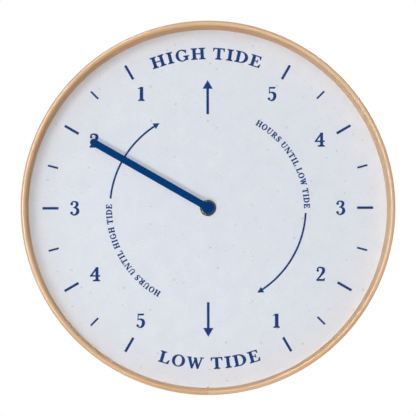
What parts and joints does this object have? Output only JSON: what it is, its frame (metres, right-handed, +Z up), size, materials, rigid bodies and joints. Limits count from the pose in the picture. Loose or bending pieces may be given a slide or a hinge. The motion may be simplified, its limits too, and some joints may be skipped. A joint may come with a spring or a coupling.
{
  "type": "tide clock",
  "caption": "Round wall tide clock with a slim wooden rim, a pale speckled dial, one blue hand and a quartz movement behind it.",
  "frame": {"origin": "middle of the keyhole's entry hole, on the wall plane", "axes": "+Z up, -Y towards the viewer, +X to the right seen from the front"},
  "size_m": [0.305, 0.044, 0.305],
  "materials": {
    "beech_wood": "light satin beech",
    "clear_glass": "clear flat glass",
    "speckled_paper": "pale matt printed board with fine flecks",
    "moulded_plastic": "off-white moulded plastic",
    "black_plastic": "fine textured black plastic",
    "white_plastic": "white acetal",
    "blue_paint": "satin blue paint on thin sheet metal",
    "brass": "turned brass",
    "steel": "plain steel",
    "rubber": "black rubber",
    "copper_wire": "lacquered copper wire",
    "board_green": "circuit board",
    "battery_wrap": "plain battery sleeve"
  },
  "bodies": {
    "case": {"rim": "beech_wood", "lens": "clear_glass", "spacer_ring": "beech_wood", "dial": "speckled_paper", "back_pan": "moulded_plastic", "rubber_washer": "rubber", "movement_front_case": "black_plastic", "movement_back_cover": "black_plastic", "gear_plate": "white_plastic", "threaded_bush": "brass", "nut_washer": "steel", "mounting_nut": "brass", "stator": "steel", "coil_core": "steel", "coil_bobbin": "white_plastic", "coil_winding": "copper_wire", "circuit_board": "board_green", "timing_chip": "black_plastic", "quartz_crystal": "steel", "battery": "battery_wrap", "positive_contact": "steel", "negative_contact": "steel"},
    "hand": {"tide_hand": "blue_paint", "hand_bush": "brass", "hand_cap": "blue_paint", "tide_wheel": "white_plastic"},
    "minute_wheel": {"minute_wheel": "white_plastic"},
    "centre_arbor": {"centre_arbor": "steel"},
    "setting_knob": {"setting_knob": "white_plastic"},
    "second_wheel": {"second_wheel": "white_plastic"},
    "intermediate_wheel": {"intermediate_wheel": "white_plastic"},
    "rotor": {"rotor": "white_plastic", "rotor_magnet": "steel"},
    "third_wheel": {"third_wheel": "white_plastic"},
    "centre_wheel": {"centre_wheel": "white_plastic"}
  },
  "joints": [
    {"name": "hand_turn", "type": "hinge", "parent": "case", "child": "hand", "pos_m": [0, 0, -0.112], "axis": [0, 1, 0], "continuous": true},
    {"name": "minute_wheel_turn", "type": "hinge", "parent": "case", "child": "minute_wheel", "pos_m": [0.01128, 0, -0.1079], "axis": [0, 1, 0], "continuous": true},
    {"name": "centre_arbor_turn", "type": "hinge", "parent": "case", "child": "centre_arbor", "pos_m": [0, 0, -0.112], "axis": [0, 1, 0], "continuous": true},
    {"name": "setting_knob_turn", "type": "hinge", "parent": "case", "child": "setting_knob", "pos_m": [0.02123, 0, -0.11625], "axis": [0, 1, 0], "continuous": true},
    {"name": "second_wheel_turn", "type": "hinge", "parent": "case", "child": "second_wheel", "pos_m": [-0.00039, 0, -0.09591], "axis": [0, 1, 0], "continuous": true},
    {"name": "intermediate_wheel_turn", "type": "hinge", "parent": "case", "child": "intermediate_wheel", "pos_m": [0.00689, 0, -0.10011], "axis": [0, 1, 0], "continuous": true},
    {"name": "rotor_turn", "type": "hinge", "parent": "case", "child": "rotor", "pos_m": [0.01341, 0, -0.09707], "axis": [0, 1, 0], "continuous": true},
    {"name": "third_wheel_turn", "type": "hinge", "parent": "case", "child": "third_wheel", "pos_m": [-0.00694, 0, -0.10373], "axis": [0, 1, 0], "continuous": true},
    {"name": "centre_wheel_turn", "type": "hinge", "parent": "case", "child": "centre_wheel", "pos_m": [0, 0, -0.112], "axis": [0, 1, 0], "continuous": true}
  ],
  "couplings": [
    {"joint": "minute_wheel_turn", "follows": "hand_turn", "ratio": -4},
    {"joint": "centre_arbor_turn", "follows": "hand_turn", "ratio": 12},
    {"joint": "setting_knob_turn", "follows": "hand_turn", "ratio": 9},
    {"joint": "intermediate_wheel_turn", "follows": "second_wheel_turn", "ratio": -6},
    {"joint": "rotor_turn", "follows": "second_wheel_turn", "ratio": 30},
    {"joint": "third_wheel_turn", "follows": "second_wheel_turn", "ratio": -0.13333},
    {"joint": "centre_wheel_turn", "follows": "second_wheel_turn", "ratio": 0.016667}
  ]
}
